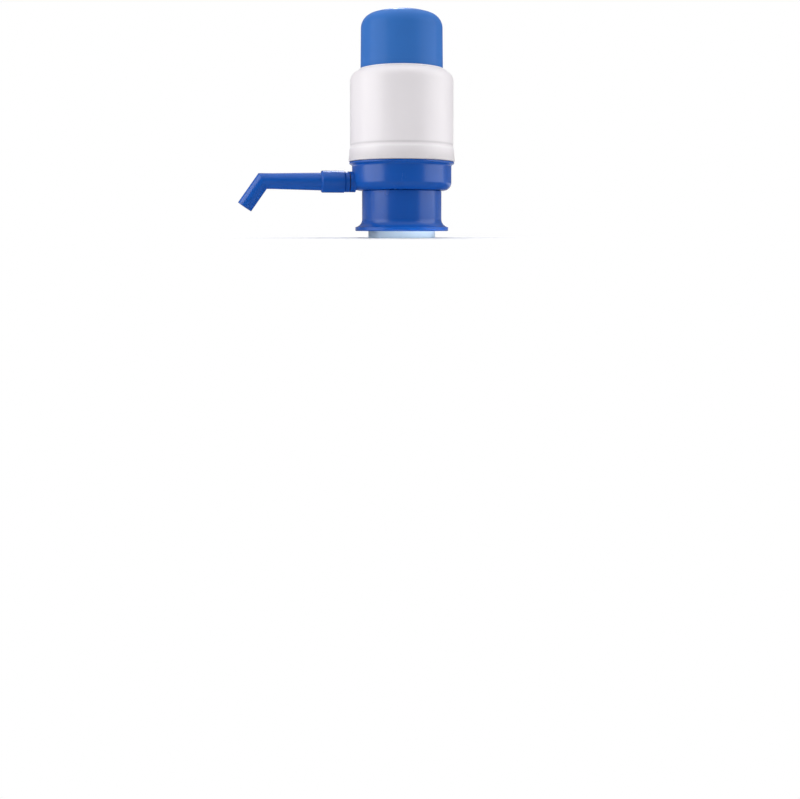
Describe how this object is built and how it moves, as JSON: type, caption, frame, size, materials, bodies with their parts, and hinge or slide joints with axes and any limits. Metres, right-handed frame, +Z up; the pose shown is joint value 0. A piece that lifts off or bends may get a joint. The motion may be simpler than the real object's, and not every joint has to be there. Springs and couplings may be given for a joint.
{
  "type": "water jug hand pump",
  "caption": "Hand pump that clamps on a water jug's neck: a sprung blue dome cap slides in a white sleeve above a blue base with a turning, bent spout.",
  "frame": {"origin": "on the pump's axis at the mouth of the grip sleeve, the lowest plane of the part, where the jug's neck goes in", "axes": "+Z up along the pump's axis towards the cap, the spout points along -X"},
  "size_m": [0.1824, 0.09, 0.1917],
  "materials": {
    "cap_blue": "satin moulded polypropylene, mid blue",
    "base_blue": "semi-gloss moulded polypropylene, deep blue",
    "housing_white": "glossy moulded ABS, white",
    "grip_white": "smooth moulded polypropylene, white",
    "inner_white": "plain moulded polypropylene, white",
    "bellows_soft": "soft translucent rubber",
    "silicone": "milky silicone",
    "seal_black": "black rubber",
    "spring_steel": "bright drawn stainless wire",
    "screw_steel": "plain stainless"
  },
  "bodies": {
    "pump_head": {"sleeve": "housing_white", "base_body": "base_blue", "spout_nipple": "base_blue", "nipple_seal": "seal_black", "spout_o_rings": "seal_black", "valve_deck": "inner_white", "outlet_valve": "silicone", "deck_seal": "seal_black", "bellows_clamp_ring": "inner_white", "deck_screws": "screw_steel", "bellows": "bellows_soft", "return_spring": "spring_steel", "neck_gasket": "silicone"},
    "press_cap": {"press_cap": "cap_blue", "bellows_top_plate": "inner_white", "intake_valve": "silicone", "cap_screws": "screw_steel"},
    "spout": {"spout": "base_blue"},
    "neck_collet": {"neck_collet": "grip_white"},
    "clamp_collar": {"clamp_collar": "base_blue"}
  },
  "joints": [
    {"name": "cap_press", "type": "slide", "parent": "pump_head", "child": "press_cap", "axis": [0, 0, -1], "range_m": [0, 0.036], "stiffness_N_per_m": 450, "springref_m": -0.012, "deforming": ["bellows", "return_spring"]},
    {"name": "spout_turn", "type": "hinge", "parent": "pump_head", "child": "spout", "pos_m": [-0.0494, 0, 0.0471], "axis": [1, 0, 0], "continuous": true},
    {"name": "collet_lift", "type": "slide", "parent": "pump_head", "child": "neck_collet", "axis": [0, 0, -1], "range_m": [0, 0.003]},
    {"name": "collar_turn", "type": "hinge", "parent": "neck_collet", "child": "clamp_collar", "pos_m": [0, 0, 0.0059], "axis": [0, 0, -1], "range_deg": [0, 360]}
  ],
  "couplings": [
    {"joint": "collet_lift", "follows": "collar_turn", "m_per_rad": 0.000477}
  ]
}
